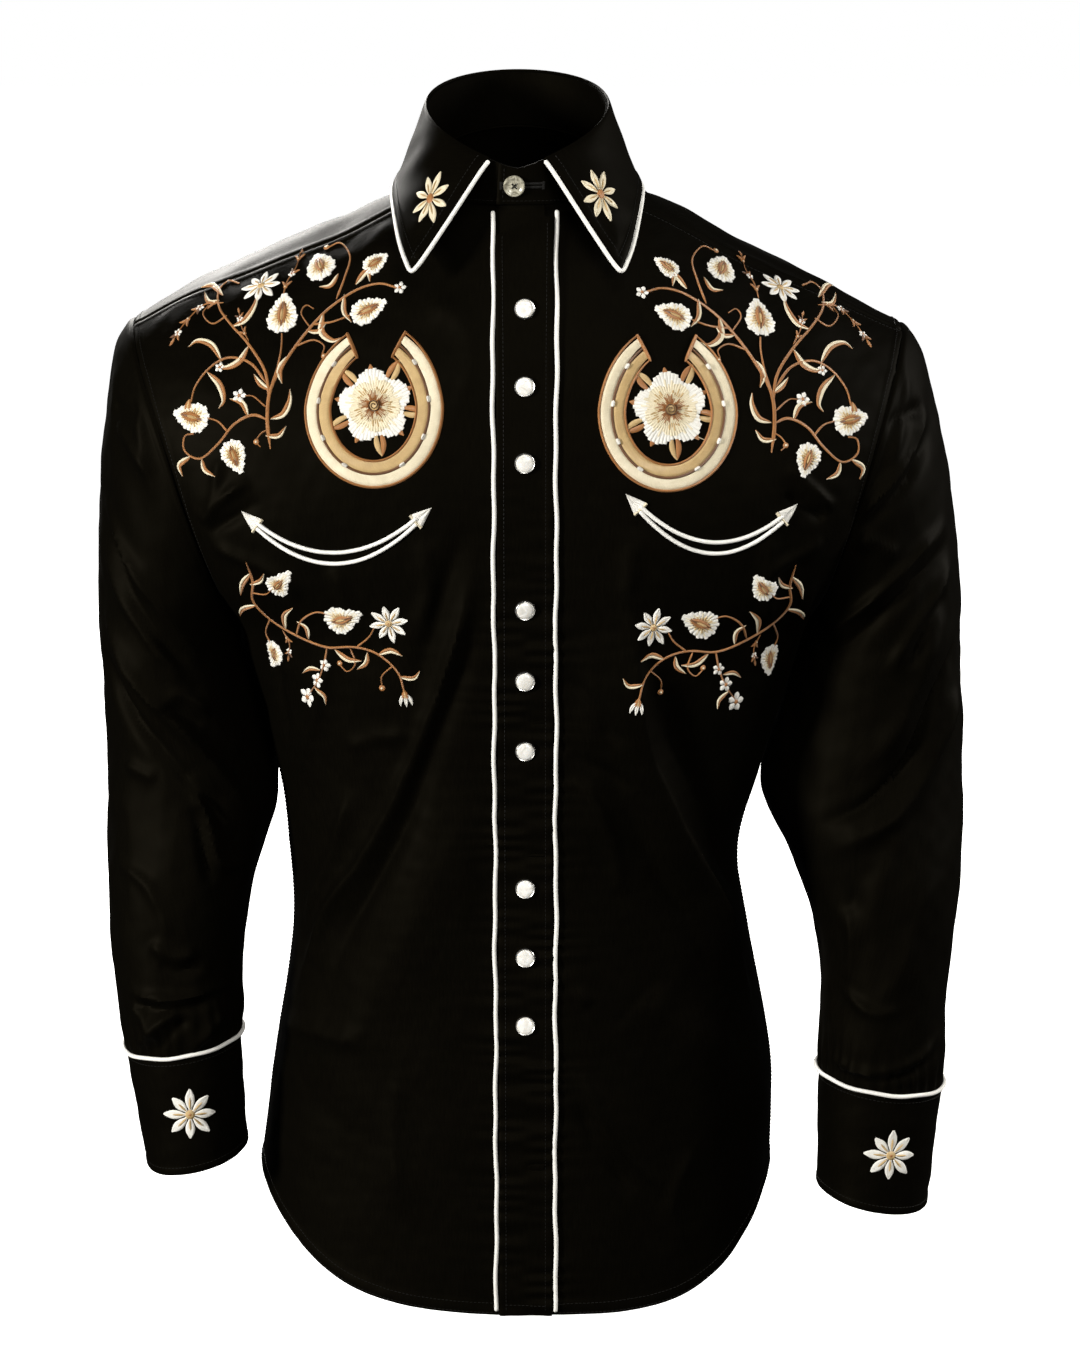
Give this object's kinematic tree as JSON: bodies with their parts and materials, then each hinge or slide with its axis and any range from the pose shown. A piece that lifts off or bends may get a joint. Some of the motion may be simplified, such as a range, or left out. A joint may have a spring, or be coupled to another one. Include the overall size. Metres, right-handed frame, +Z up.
{
  "type": "western snap shirt",
  "caption": "Long-sleeved western shirt in black cloth, worn form: piped front band with pearl snaps, smile pockets, yoke, cuffs and a pointed collar.",
  "frame": {"origin": "inside the neckline, level with the neck's side points and on the front band's middle line, where the wearer's neck and shoulders carry the shirt", "axes": "+Z up, along the wearer's height; -Y the way the wearer faces; +X the wearer's left"},
  "size_m": [0.5775, 0.2526, 0.8003],
  "materials": {
    "cloth": "black cotton sateen with a soft sheen",
    "piping": "white satin piping over a cord",
    "embroidery": "satin-stitched rayon thread in cream, gold and copper",
    "snap": "white pearl in a bright metal rim",
    "button": "smoked pearl"
  },
  "bodies": {
    "root": {"back": "cloth", "collar_button": "button", "collar_fall": "cloth", "collar_stand": "cloth", "cuff_left": "cloth", "cuff_right": "cloth", "cuff_snap_left_1": "snap", "cuff_snap_left_2": "snap", "cuff_snap_left_3": "snap", "cuff_snap_right_1": "snap", "cuff_snap_right_2": "snap", "cuff_snap_right_3": "snap", "front_left": "cloth", "front_right": "cloth", "piping_collar": "piping", "piping_cuff_left": "piping", "piping_cuff_right": "piping", "piping_placket_left": "piping", "piping_placket_right": "piping", "placket": "cloth", "pocket_left_arrow_inner": "embroidery", "pocket_left_arrow_outer": "embroidery", "pocket_left_lower_lip": "piping", "pocket_left_upper_lip": "piping", "pocket_right_arrow_inner": "embroidery", "pocket_right_arrow_outer": "embroidery", "pocket_right_lower_lip": "piping", "pocket_right_upper_lip": "piping", "sleeve_left": "cloth", "sleeve_placket_left": "cloth", "sleeve_placket_right": "cloth", "sleeve_right": "cloth", "snap_01": "snap", "snap_02": "snap", "snap_03": "snap", "snap_04": "snap", "snap_05": "snap", "snap_06": "snap", "snap_07": "snap", "snap_08": "snap", "snap_09": "snap", "yoke": "cloth"}
  },
  "joints": []
}
